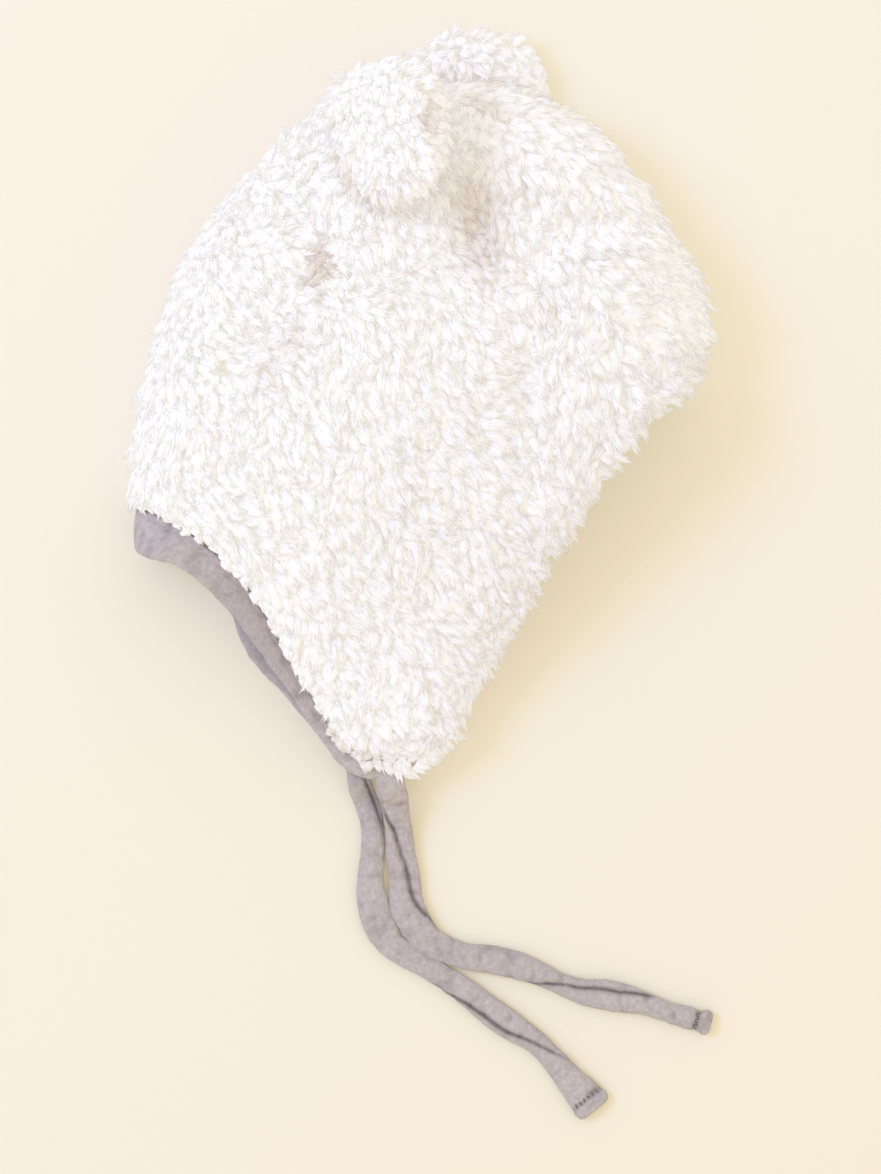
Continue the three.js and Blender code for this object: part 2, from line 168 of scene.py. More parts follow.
# The hem of a tie: its place as a share of the length, its width and depth, and the thread over it.
HEM_PLACE = 0.968
HEM_WIDTH = 0.9 * MM
HEM_DEPTH = 0.55 * MM
HEM_STITCHES = 6
STITCH_LENGTH = 1.7 * MM
STITCH_RADIUS = 0.22 * MM
STITCH_STATIONS = 5
STITCH_SIDES = 6
STITCH_SLANTS = (-0.25, 0.35)
STITCHED_SHARE = 0.82

# Share of the tie's length, then the width there in millimetres.
NEAR_TIE_WIDTHS = [
    (0.0, 10.6), (0.06, 10.4), (0.12, 9.6), (0.2, 10.9), (0.3, 12.8), (0.36, 12.2), (0.41, 10.6),
    (0.45, 9.4), (0.52, 10.5), (0.58, 10.3), (0.63, 8.6), (0.67, 7.8), (0.71, 8.8), (0.77, 11.2),
    (0.81, 10.9), (0.86, 8.3), (0.91, 7.5), (0.95, 8.5), (0.975, 7.6), (0.985, 9.4), (1.0, 8.6),
]
FAR_TIE_WIDTHS = [
    (0.0, 8.4), (0.05, 9.0), (0.11, 8.8), (0.16, 8.4), (0.25, 9.2), (0.3, 11.2), (0.36, 12.0), (0.42, 9.8),
    (0.5, 8.2), (0.55, 8.6), (0.62, 9.8), (0.68, 10.7), (0.73, 10.9), (0.79, 8.8), (0.84, 8.4), (0.9, 10.2),
    (0.95, 12.6), (0.98, 14.2), (1.0, 13.4),
]

# Where the turned seam of a tie shows as a crease: share of the length, place across the tie from
# its left edge, -1, to its right edge, 1, as it runs from the hat, and how deep it is, from 0 to 1.
NEAR_TIE_CREASE = [
    (0.0, 1.0, 0.0), (0.08, 0.9, 0.3), (0.11, 0.7, 0.9), (0.145, 0.3, 1.0), (0.21, -0.15, 1.0),
    (0.265, -0.3, 1.0), (0.31, -0.6, 1.0), (0.35, -0.95, 0.6), (0.4, -1.0, 0.0), (0.6, 1.0, 0.0),
    (0.63, 0.9, 0.7), (0.685, -0.1, 1.0), (0.745, -0.4, 1.0), (0.8, -0.35, 1.0), (0.85, -0.7, 0.9),
    (0.88, -1.0, 0.0), (1.0, -1.0, 0.0),
]
FAR_TIE_CREASE = [
    (0.0, -0.4, 0.8), (0.05, -0.6, 1.0), (0.11, -0.6, 1.0), (0.16, -0.95, 0.5), (0.2, -1.0, 0.0),
    (0.5, 1.0, 0.0), (0.58, 0.9, 0.5), (0.62, 0.67, 1.0), (0.67, 0.5, 1.0), (0.73, 0.5, 1.0),
    (0.77, 0.3, 1.0), (0.81, 0.0, 0.9), (0.84, -0.4, 0.7), (0.88, -0.95, 0.2), (0.92, -1.0, 0.0),
    (1.0, -1.0, 0.0),
]

# The backing and the ear pads, made from the model: corners this near are one, and a coarse lock of the
# model is known by how far its tip stands off its ring. The face it stood on is marked with this index.
JOINED_WITHIN = 0.002 * MM
COARSE_LOCK = 1.5 * MM
LOCK_CELL = 1
PAD_VOXEL = 1.4 * MM
PAD_CALM = (0.5, 10)

# How long the locks of the pile are and how far apart they stand.
LOCK_LENGTH = 8.0 * MM
LOCK_SPACING = 2.35 * MM
FAR_SIDE_LENGTH = 0.75 * LOCK_LENGTH
FAR_SIDE_SPACING = 1.3 * LOCK_SPACING
UNDER_SPACING = 4.6 * MM
EAR_LOCK_LENGTH = 6.5 * MM
NEAR_EAR_SPACING = 2.3 * MM
FAR_EAR_SPACING = 2.5 * MM
RIM_LOCK_LENGTH = 6.5 * MM
RIM_LOCK_SPACING = 1.8 * MM

# Which faces the pile grows on: how far they may look down, and how far from the mouth they lie.
NEAR_SIDE_TILT = -0.35
RIM_TILT = -0.4
PRESSED_TILT = -0.8
PRESSED_HEIGHT = 1.6 * MM
PRESSED_FROM_MOUTH = 10 * MM
BARE_HEIGHT = 2 * MM
BARE_FROM_MOUTH = 12 * MM
RIM_PILE_BAND = 9 * MM
NEAR_BAND_LEVEL = 5.5 * MM
BAND_BLEND = 1.5 * MM

# Where the hat is pressed on the table its backing is lifted to this level, and the locks under it are
# flat, with few strands, and stay below a ceiling.
PRESSED_LEVEL = 1.2 * MM
UNDER_CEILING = 2.2 * MM
UNDER_STRANDS = 2

# By the share of the mouth line: from where on the body carries pile up to the edging, and from where
# on the edging under the pile has the finish of the backing.
RIM_PILE_START = 0.36
COVERED_START = 0.45

# The edging's wrinkles: puckers and crumples, each with its spacing and height, and the sewn line with its
# place, width and depth. Then how dark the sewn line and the wrinkles are painted, a painted shade. On the
# cheek it is a little darker: the middle, the reach and how much.
PUCKER = (2.3 * MM, 0.3 * MM)
PUCKER_ACROSS = (9 * MM, 12 * MM)
CRUMPLE = (4.5 * MM, 0.28 * MM)
SEWN_LINE = (2.2 * MM, 0.7 * MM, 0.2 * MM)
SEWN_SHADE = 0.15
WRINKLE_SHADE = 0.3
CHEEK_DARKER = (0.22, 0.11, 0.15)

# How much wider each band of the edging lies than in the model, by the share of the mouth line. The
# near one spreads by the forehead and narrows on the cheek, where the far one looks out under it, and
# from the flap's tip on both are drawn in under the pile.
BAND_SPREAD = [
    (0.0, -0.25), (0.04, 0.15), (0.1, 0.15), (0.17, 0.0), (0.2, -0.08), (0.23, -0.15), (0.26, -0.08),
    (0.33, 0.04), (0.365, -0.12), (0.405, -0.05), (0.43, -0.35), (0.47, -0.55), (1.0, -0.55),
]
FAR_BAND_SPREAD = [
    (0.0, -0.25), (0.04, 0.1), (0.12, 0.0), (0.17, -0.1), (0.2, 0.05), (0.23, 0.12), (0.26, 0.1), (0.3, -0.1),
    (0.33, -0.3), (0.36, -0.4), (0.43, -0.55), (1.0, -0.55),
]

# How far over the near band the pile hangs, by the share of the mouth line, in millimetres.
RIM_PILE_REACH = [
    (0.0, 0.0), (0.33, 0.0), (0.36, 1.5), (0.38, 2.2), (0.41, 2.6), (0.435, 3.2), (0.46, 20.0), (1.0, 20.0),
]

# The way the pile is combed beside the mouth, by the share of its line: along the edge, 0, or straight
# out over it, 1. The last two say from where to where that fades, along the mouth and away from it.
EDGE_COMB = [
    (0.0, 0.0), (0.1, 0.1), (0.17, 0.35), (0.26, 0.3), (0.31, 0.15), (0.35, 0.3), (0.39, 0.6), (0.42, 0.75),
    (0.46, 0.6), (1.0, 0.6),
]
EDGE_COMB_END = (0.43, 0.48)
EDGE_COMB_BAND = (3 * MM, 16 * MM)

# Along the cheek and the flap's tip the pile is brushed back from the edging: within this of the mouth
# it gets shorter, down to these shares of its length, by the share of the mouth line.
BRUSHED_EDGE = 8 * MM
BRUSHED_LENGTHS = [
    (0.0, 0.3), (0.1, 0.36), (0.17, 0.46), (0.26, 0.42), (0.34, 0.3), (0.38, 0.42), (0.44, 0.5), (0.48, 1.0),
    (1.0, 1.0),
]
# Towards the nape the locks are longer by this share, from the first place across to the second.
NAPE_LONGER = 0.3
NAPE_REACH = (120 * MM, 190 * MM)

# A lock has a soft body and finer strands that leave it and stray a little. It is rooted in the backing,
# and no part of it comes nearer the table than the clearance. Locks differ within these spreads: shares
# of length and girth, and degrees of lean at the root and at the tip.
BODY_RADIUS = 2.0 * MM
BODY_SIDES = 5
BODY_FLATNESS = 0.8
STRANDS_PER_LOCK = 8
STRAND_RADIUS = 0.66 * MM
STRAND_SIDES = 3
STRAY = 0.5 * MM
GOLDEN_ANGLE = 2.399963
LENGTH_SPREAD = (0.8, 1.2)
GIRTH_SPREAD = (0.7, 1.2)
LEAN_SPREAD = (8, 12)
ROOTED_DEEP = 0.5 * MM
PILE_CLEARANCE = 0.1 * MM

# Places along a lock, as shares of its length, and how thick its body and its strands are there.
SPINE_SHARES = np.array([0.0, 0.25, 0.5, 0.75, 1.0])
BODY_SHARES = np.array([0.0, 0.35, 0.72, 1.0])
BODY_SWELL = np.array([0.9, 1.0, 0.65])
STRAND_SHARES = np.array([0.2, 0.55, 0.85, 1.15])
STRAND_SWELL = np.array([1.0, 0.95, 0.6])

# The way the pile is combed, and how it drifts from that in wide and small swirls: the spacing of
# those, and how far they turn it in degrees. Each lock wanders by some degrees of its own.
COMB = np.array((0.6, -0.8, -0.15))
WIDE_SWIRL = (28 * MM, 55)
SMALL_SWIRL = (9 * MM, 40)
WANDER = 14

# How the shaded places are found: looks at the sky from over each root, how far off a fold still shades it,
# and how many neighbours share their mean. A root that sees less than one share of the sky grows no lock, and
# up to the other share its lock is shorter. Where a root sees little sky its lock is also darkened in colour,
# a painted shade.
SKY_LOOKS = 24
SKY_START = 3.5 * MM
SKY_REACH = 45 * MM
SKY_NEIGHBOURS = 10
BURIED = 0.04
STUNTED = 0.3

# Painted shade on the pile, warmer and darker, in its partings and deep folds: the middle, half length and
# half width in millimetres from the flap's corner, the way it runs in degrees, and how deep it is.
PAINTED_SHADE_SPOTS = [
    (120.8, 194.0, 22.0, 10.5, 97, 0.37),
    (65.8, 176.0, 10.0, 5.0, 80, 0.5),
    (103.5, 225.0, 7.0, 2.5, 80, 0.4),
    (126.0, 233.0, 8.0, 2.5, 150, 0.25),
    (140.0, 204.0, 8.0, 2.0, 0, 0.25),
    (165.0, 180.0, 12.0, 2.0, 5, 0.2),
    (147.0, 163.0, 9.0, 4.0, 90, 0.15),
    (53.0, 147.0, 20.0, 5.0, 60, 0.15),
    (122.0, 95.0, 80.0, 42.0, 55, 0.06),
]
PAINTED_SHADE_EDGE = 2.2

# The jersey: the width of a wale, how fine its streaks of yarn are along it and across, and its clouds.
WALE = 0.7 * MM
STREAKS_ALONG = 520.0
STREAKS_ACROSS = 900.0
CLOUDS = 120.0

# How fine the loops of the backing and the twist of the thread are.
BACKING_LOOPS = 900.0
THREAD_TWIST = 2500.0

WHITE = (1.0, 1.0, 1.0)

# A painted glow: the pile gives off a bluish light of its own, for the light that the pile passes from strand
# to strand, which opaque strands would swallow.
PILE_PAINTED_GLOW = 0.62
GLOW_COLOUR = (0.88, 0.93, 1.0, 1.0)
PILE_SEED = 7

# The sockets of a Mix node for colours.
MIX_FIRST, MIX_SECOND, MIX_RESULT = 6, 7, 2


def mix(a, b, share):
    return a + (b - a) * share


def smoothstep(low, high, value):
    share = np.clip((value - low) / (high - low), 0.0, 1.0)
    return share * share * (3 - 2 * share)


def table_at(table, column, share):
    """The value of a column of a table of shares, in straight lines between its rows."""
    shares = [row[0] for row in table]
    values = [row[column] for row in table]
    return np.interp(share, shares, values)


def unit(vectors):
    return vectors / np.maximum(np.linalg.norm(vectors, axis=-1, keepdims=True), 1e-12)


# Camera, light and surface.


def add_camera():
    camera = bpy.data.cameras.new("camera")
    camera.sensor_width = SENSOR
    tall_side = PICTURE_PIXELS[1] * METRES_PER_PIXEL
    camera.lens = SENSOR * (CAMERA_HEIGHT - PICTURE_LEVEL) / tall_side
    camera.clip_start = NEAREST_SEEN
    obj = bpy.data.objects.new("camera", camera)
    obj.location = (PICTURE_MIDDLE[0], PICTURE_MIDDLE[1], CAMERA_HEIGHT)
    bpy.context.scene.collection.objects.link(obj)
    bpy.context.scene.camera = obj


def add_light(name, place, aim, size, power, colour):
    light = bpy.data.lights.new(name, "AREA")
    light.shape = "DISK"
    light.size = size
    light.energy = power
    light.color = colour
    obj = bpy.data.objects.new(name, light)
    obj.location = place
    obj.rotation_euler = (Vector(aim) - Vector(place)).to_track_quat("-Z", "Y").to_euler()
    bpy.context.scene.collection.objects.link(obj)


def add_lights():
    add_light("window", WINDOW_PLACE, WINDOW_AIM, WINDOW_SIZE, WINDOW_POWER, WINDOW_COLOUR)
    world = bpy.data.worlds.new("room")
    world.use_nodes = True
    background = world.node_tree.nodes["Background"]
    background.inputs["Color"].default_value = ROOM_COLOUR
    background.inputs["Strength"].default_value = 1.0
    scene = bpy.context.scene
    scene.world = world
    scene.view_settings.view_transform = "Standard"
    scene.cycles.max_bounces = LIGHT_BOUNCES
    scene.cycles.diffuse_bounces = DIFFUSE_BOUNCES


def add_table_top():
    mesh = bpy.data.meshes.new("table_top")
    corners = [(x * TABLE_HALF, y * TABLE_HALF, 0) for x, y in ((-1, -1), (1, -1), (1, 1), (-1, 1))]
    mesh.from_pydata(corners, [], [(0, 1, 2, 3)])
    obj = bpy.data.objects.new("table_top", mesh)
    obj.location.z = -TABLE_DROP
    bpy.context.scene.collection.objects.link(obj)
    obj.data.materials.append(table_top_material())


# Materials.


def new_material(name):
    material = bpy.data.materials.new(name)
    material.use_nodes = True
    tree = material.node_tree
    return material, tree, tree.nodes["Principled BSDF"]


def add_node(tree, kind, **values):
    node = tree.nodes.new(kind)
    for key, value in values.items():
        setattr(node, key, value)
    return node


def multiplied(tree, first, second):
    """Two colours multiplied, each an output of a node or a plain colour."""
    node = add_node(tree, "ShaderNodeMix", data_type="RGBA", blend_type="MULTIPLY")
    node.inputs["Factor"].default_value = 1.0
    for socket, colour in ((node.inputs[MIX_FIRST], first), (node.inputs[MIX_SECOND], second)):
        if isinstance(colour, tuple):
            socket.default_value = colour
        else:
            tree.links.new(colour, socket)
    return node.outputs[MIX_RESULT]


def ramped(tree, factor, stops):
    """The colour that a ramp gives for an output of a node."""
    ramp = add_node(tree, "ShaderNodeValToRGB")
    elements = ramp.color_ramp.elements
    while len(elements) < len(stops):
        elements.new(0.5)
    for element, (place, colour) in zip(elements, stops):
        element.position = place
        element.color = (*colour, 1.0)
    tree.links.new(factor, ramp.inputs["Fac"])
    return ramp.outputs["Color"]


def add_relief(tree, shader, height, strength, distance):
    bump = add_node(tree, "ShaderNodeBump")
    bump.inputs["Strength"].default_value = strength
    bump.inputs["Distance"].default_value = distance
    tree.links.new(height, bump.inputs["Height"])
    tree.links.new(bump.outputs["Normal"], shader.inputs["Normal"])


def table_top_material():
    """Smooth cream board, a little darker and warmer towards the near side, a painted light, that spreads
    some of its own light, a painted glow.
    """
    material, tree, shader = new_material("painted_board")
    coordinates = add_node(tree, "ShaderNodeTexCoord")
    axes = add_node(tree, "ShaderNodeSeparateXYZ")
    place = add_node(tree, "ShaderNodeMapRange")
    place.inputs["From Min"].default_value = BOARD_REACH[0]
    place.inputs["From Max"].default_value = BOARD_REACH[1]
    tree.links.new(coordinates.outputs["Object"], axes.inputs[0])
    tree.links.new(axes.outputs["Y"], place.inputs["Value"])
    # Painted light: the board is a little darker and warmer on the near side, lighter and cooler on the far
    # side.
    painted_light_ramp = [(0.0, (0.668, 0.632, 0.585)), (1.0, (0.685, 0.652, 0.625))]
    board = ramped(tree, place.outputs["Result"], painted_light_ramp)
    tree.links.new(board, shader.inputs["Base Color"])
    shader.inputs["Emission Color"].default_value = BOARD_GLOW_COLOUR
    shader.inputs["Emission Strength"].default_value = BOARD_GLOW
    material.cycles.emission_sampling = "NONE"
    shader.inputs["Roughness"].default_value = 0.85
    shader.inputs["Specular IOR Level"].default_value = 0.2
    return material


def pile_material():
    """White teddy pile: a little warmer at the root, each lock a touch different, with painted shade, warmer
    and darker, where a lock sees little sky and in the partings and deep folds, and a painted glow of its
    own.
    """
    material, tree, shader = new_material("teddy_pile")
    strand = add_node(tree, "ShaderNodeAttribute", attribute_name="pile")
    parts = add_node(tree, "ShaderNodeSeparateColor")
    tree.links.new(strand.outputs["Color"], parts.inputs["Color"])
    along = ramped(tree, parts.outputs["Red"], [
        (0.0, (0.656, 0.629, 0.6)),
        (0.45, (0.664, 0.638, 0.613)),
        (1.0, (0.664, 0.64, 0.617)),
    ])
    tone = ramped(tree, parts.outputs["Green"], [(0.0, (0.98, 0.975, 0.965)), (1.0, WHITE)])
    # Painted shade: warmer and darker where a lock sees little sky and in the partings and deep folds.
    painted_shade = ramped(tree, parts.outputs["Blue"], [(0.4, (0.76, 0.67, 0.59)), (1.0, WHITE)])
    shaded = multiplied(tree, multiplied(tree, along, tone), painted_shade)
    tree.links.new(shaded, shader.inputs["Base Color"])
    # Painted glow: the pile gives off its own shaded colour, tinted bluish.
    tree.links.new(multiplied(tree, shaded, GLOW_COLOUR), shader.inputs["Emission Color"])
    shader.inputs["Emission Strength"].default_value = PILE_PAINTED_GLOW
    material.cycles.emission_sampling = "NONE"
    shader.inputs["Roughness"].default_value = 0.9
    shader.inputs["Specular IOR Level"].default_value = 0.1
    return material


def backing_material():
    """The knitted ground that the pile grows from, which shows inside the hat."""
    material, tree, shader = new_material("knitted_backing")
    coordinates = add_node(tree, "ShaderNodeTexCoord")
    loops = add_node(tree, "ShaderNodeTexVoronoi")
    loops.inputs["Scale"].default_value = BACKING_LOOPS
    tree.links.new(coordinates.outputs["Object"], loops.inputs["Vector"])
    ground = ramped(tree, loops.outputs["Distance"], [(0.0, (0.96, 0.95, 0.93)), (0.8, (0.9, 0.88, 0.85))])
    tree.links.new(ground, shader.inputs["Base Color"])
    add_relief(tree, shader, loops.outputs["Distance"], 0.5, 0.3 * MM)
    shader.inputs["Roughness"].default_value = 0.95
    return material


def knit_group():
    """Jersey on unrolled cloth: the stitches' height and the streaks of the mixed yarn."""
    group = bpy.data.node_groups.new("melange_jersey", "ShaderNodeTree")
    group.interface.new_socket("Cloth", in_out="INPUT", socket_type="NodeSocketVector")
    group.interface.new_socket("Wale", in_out="INPUT", socket_type="NodeSocketFloat")
    group.interface.new_socket("Streaks", in_out="OUTPUT", socket_type="NodeSocketFloat")
    group.interface.new_socket("Height", in_out="OUTPUT", socket_type="NodeSocketFloat")
    entry = add_node(group, "NodeGroupInput")
    leave = add_node(group, "NodeGroupOutput")

    def maths(operation, *values):
        node = add_node(group, "ShaderNodeMath", operation=operation)
        for socket, value in zip(node.inputs, values):
            if isinstance(value, (int, float)):
                socket.default_value = value
            else:
                group.links.new(value, socket)
        return node.outputs[0]

    axes = add_node(group, "ShaderNodeSeparateXYZ")
    group.links.new(entry.outputs["Cloth"], axes.inputs[0])
    along = maths("DIVIDE", axes.outputs["X"], entry.outputs["Wale"])
    across = maths("DIVIDE", axes.outputs["Y"], entry.outputs["Wale"])
    middle = maths("ABSOLUTE", maths("SUBTRACT", maths("FRACT", across), 0.5))
    slant = maths("ADD", maths("MULTIPLY", along, 1.3), middle)
    stitch = maths("SINE", maths("MULTIPLY", slant, 2 * math.pi))
    ridge = maths("SINE", maths("MULTIPLY", middle, 2 * math.pi))
    height = maths("MULTIPLY", ridge, maths("ADD", maths("MULTIPLY", stitch, 0.35), 0.65))

    stretch = add_node(group, "ShaderNodeCombineXYZ")
    group.links.new(maths("MULTIPLY", axes.outputs["X"], STREAKS_ALONG), stretch.inputs["X"])
    group.links.new(maths("MULTIPLY", axes.outputs["Y"], STREAKS_ACROSS), stretch.inputs["Y"])
    yarn = add_node(group, "ShaderNodeTexNoise")
    yarn.inputs["Scale"].default_value = 1.0
    yarn.inputs["Detail"].default_value = 3.0
    yarn.inputs["Roughness"].default_value = 0.7
    group.links.new(stretch.outputs[0], yarn.inputs["Vector"])
    group.links.new(yarn.outputs["Fac"], leave.inputs["Streaks"])
    group.links.new(height, leave.inputs["Height"])
    return group


def jersey_material(knit):
    """Grey mixed jersey, lighter and darker in clouds, with painted shade where it creases, rucks and
    wrinkles and along the sewn line, and a little darker on the cheek.
    """
    material, tree, shader = new_material("grey_jersey")
    cloth = add_node(tree, "ShaderNodeUVMap", uv_map="cloth")
    effect = add_node(tree, "ShaderNodeGroup", node_tree=knit)
    effect.inputs["Wale"].default_value = WALE
    folds = add_node(tree, "ShaderNodeAttribute", attribute_name="folds")
    wear = add_node(tree, "ShaderNodeTexCoord")
    cloud = add_node(tree, "ShaderNodeTexNoise")
    cloud.inputs["Scale"].default_value = CLOUDS
    tree.links.new(cloth.outputs["UV"], effect.inputs["Cloth"])
    tree.links.new(wear.outputs["Object"], cloud.inputs["Vector"])
    yarn = ramped(tree, effect.outputs["Streaks"], [
        (0.3, (0.46, 0.405, 0.405)),
        (0.5, (0.53, 0.475, 0.47)),
        (0.7, (0.61, 0.56, 0.55)),
    ])
    shade = ramped(tree, cloud.outputs["Fac"], [(0.3, (0.93, 0.92, 0.93)), (0.7, WHITE)])
    dark = ramped(tree, folds.outputs["Fac"], [(0.0, WHITE), (1.0, (0.38, 0.34, 0.34))])
    tree.links.new(multiplied(tree, multiplied(tree, yarn, shade), dark), shader.inputs["Base Color"])
    add_relief(tree, shader, effect.outputs["Height"], 0.6, 0.15 * MM)
    shader.inputs["Roughness"].default_value = 0.9
    shader.inputs["Specular IOR Level"].default_value = 0.2
    shader.inputs["Sheen Weight"].default_value = 0.2
    return material


def thread_material():
    material, tree, shader = new_material("grey_thread")
    coordinates = add_node(tree, "ShaderNodeTexCoord")
    twist = add_node(tree, "ShaderNodeTexNoise")
    twist.inputs["Scale"].default_value = THREAD_TWIST
    tree.links.new(coordinates.outputs["Object"], twist.inputs["Vector"])
    strands = ramped(tree, twist.outputs["Fac"], [(0.3, (0.13, 0.11, 0.12)), (0.7, (0.22, 0.19, 0.2))])
    tree.links.new(strands, shader.inputs["Base Color"])
    shader.inputs["Roughness"].default_value = 0.8
    return material


# Meshes.


def mesh_piece(name, points, faces, material):
    mesh = bpy.data.meshes.new(name)
    mesh.from_pydata([tuple(p) for p in points], [], faces)
    return finish_piece(name, mesh, material)


def finish_piece(name, mesh, material):
    mesh.materials.clear()
    mesh.materials.append(material)
    mesh.polygons.foreach_set("use_smooth", np.ones(len(mesh.polygons), dtype=bool))
    mesh.update()
    obj = bpy.data.objects.new(name, mesh)
    bpy.context.scene.collection.objects.link(obj)
    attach(obj, "root")
    return obj


def node_bmesh(name):
    """A copy of a node's mesh with its split corners joined."""
    bm = bmesh.new()
    bm.from_mesh(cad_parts[name].data)
    bmesh.ops.remove_doubles(bm, verts=bm.verts, dist=JOINED_WITHIN)
    return bm


def mesh_of(bm, name):
    mesh = bpy.data.meshes.new(name)
    bm.to_mesh(mesh)
    bm.free()
    return mesh


def point_tree(points):
    """A tree that finds the nearest of the points, by their numbers."""
    tree = kdtree.KDTree(len(points))
    for n, point in enumerate(points):
        tree.insert(point, n)
    tree.balance()
    return tree


def surface_tree(pieces):
    """One tree of the surfaces of some pieces, for looks that they may stop."""
    points, faces = [], []
    for obj in pieces:
        first = len(points)
        points += [v.co.copy() for v in obj.data.vertices]
        faces += [[first + i for i in polygon.vertices] for polygon in obj.data.polygons]
    return BVHTree.FromPolygons(points, faces)


def tube_faces(rings, sides, first=0):
    """The faces of a closed tube of rings of corners, the first of them numbered as given."""
    faces = []
    for i in range(rings - 1):
        ring, beyond = first + i * sides, first + (i + 1) * sides
        for k in range(sides):
            after = (k + 1) % sides
            faces.append((ring + k, ring + after, beyond + after, beyond + k))
    faces.append(tuple(first + k for k in range(sides - 1, -1, -1)))
    faces.append(tuple(first + (rings - 1) * sides + k for k in range(sides)))
    return faces


def apply_modifiers(obj):
    depsgraph = bpy.context.evaluated_depsgraph_get()
    mesh = bpy.data.meshes.new_from_object(obj.evaluated_get(depsgraph))
    obj.modifiers.clear()
    old = obj.data
    obj.data = mesh
    bpy.data.meshes.remove(old)


def round_off(obj, levels):
    rounding = obj.modifiers.new("rounding", "SUBSURF")
    rounding.levels = rounding.render_levels = levels
    apply_modifiers(obj)


# The ties: a flattened tube of jersey whose turned seam shows as a crease.


def along_route(route, step):
    """Points on a smooth line through the route, evenly apart, in the model's frame."""
    corner = np.array((*FLAP_CORNER, 0.0))
    knots = np.array(route) + corner
    padded = np.vstack([2 * knots[0] - knots[1], knots, 2 * knots[-1] - knots[-2]])
    fine = []
    shares = np.linspace(0, 1, ROUTE_STEPS, endpoint=False)[:, None]
    for a, b, c, d in zip(padded, padded[1:], padded[2:], padded[3:]):
        linear = (c - a) * shares
        square = (2 * a - 5 * b + 4 * c - d) * shares**2
        cubic = (3 * b - a - 3 * c + d) * shares**3
        fine.append(0.5 * (2 * b + linear + square + cubic))
    fine = np.vstack([*fine, knots[-1:]])
    walked = np.concatenate([[0.0], np.cumsum(np.linalg.norm(np.diff(fine, axis=0), axis=1))])
    stops = np.linspace(0, walked[-1], round(walked[-1] / step) + 1)
    return np.stack([np.interp(stops, walked, fine[:, i]) for i in range(3)], axis=1), walked[-1]


def tie_profile(turn, crease, depth):
    """Across and up of the tie's section at an angle, from -1 to 1, with its two rolls of cloth."""
    across = np.sign(np.cos(turn)) * np.abs(np.cos(turn)) ** 0.8
    up = np.sign(np.sin(turn)) * np.abs(np.sin(turn)) ** 0.75
    left_half = np.maximum(0.5 * (crease + 1), 0.04)
    right_half = np.maximum(0.5 * (1 - crease), 0.04)
    on_left = across < crease
    middle = np.where(on_left, crease - left_half, crease + right_half)
    half = np.where(on_left, left_half, right_half)
    roll = np.sqrt(np.clip(1 - ((across - middle) / half) ** 2, 0.0, 1.0)) ** 0.7
    wider = 0.75 + 0.35 * half
    return across, np.where(up > 0, mix(up, np.minimum(roll * wider, 1.1), depth), up)


def dress_cloth(mesh, cloth, painted_darkening):
    """Lays the cloth's own coordinates on a mesh, and how dark each of its corners is painted: the painted
    shade of its folds, and on the edging its darker cheek.
    """
    uv = mesh.uv_layers.new(name="cloth")
    for loop in mesh.loops:
        uv.data[loop.index].uv = cloth[loop.vertex_index]
    layer = mesh.color_attributes.new("folds", "FLOAT_COLOR", "POINT")
    layer.data.foreach_set("color", np.repeat(np.array(painted_darkening), 4))


def add_hem_stitches(name, centre, right, up, along, half_width, thread):
    """A few turns of thread over the hem of a tie, where its end is folded back and sewn."""
    points, faces = [], []
    for n in range(HEM_STITCHES):
        place = (n + 0.5) / HEM_STITCHES * 2 - 1
        start = centre + right * (STITCHED_SHARE * half_width * place) + up * (0.52 * TIE_THICKNESS)
        way = unit(along + right * STITCH_SLANTS[n % 2])
        beside = np.cross(way, up)
        rings = tube_faces(STITCH_STATIONS, STITCH_SIDES, len(points))
        faces += [face[::-1] for face in rings]
        for k in range(STITCH_STATIONS):
            share = k / (STITCH_STATIONS - 1) - 0.5
            middle = start + way * (share * STITCH_LENGTH) - up * (0.5 * MM * (2 * share) ** 2)
            thick = STITCH_RADIUS * (1 - 0.5 * (2 * share) ** 4)
            for m in range(STITCH_SIDES):
                angle = 2 * math.pi * m / STITCH_SIDES
                points.append(middle + (beside * math.cos(angle) + up * math.sin(angle)) * thick)
    mesh_piece(name, points, faces, thread)


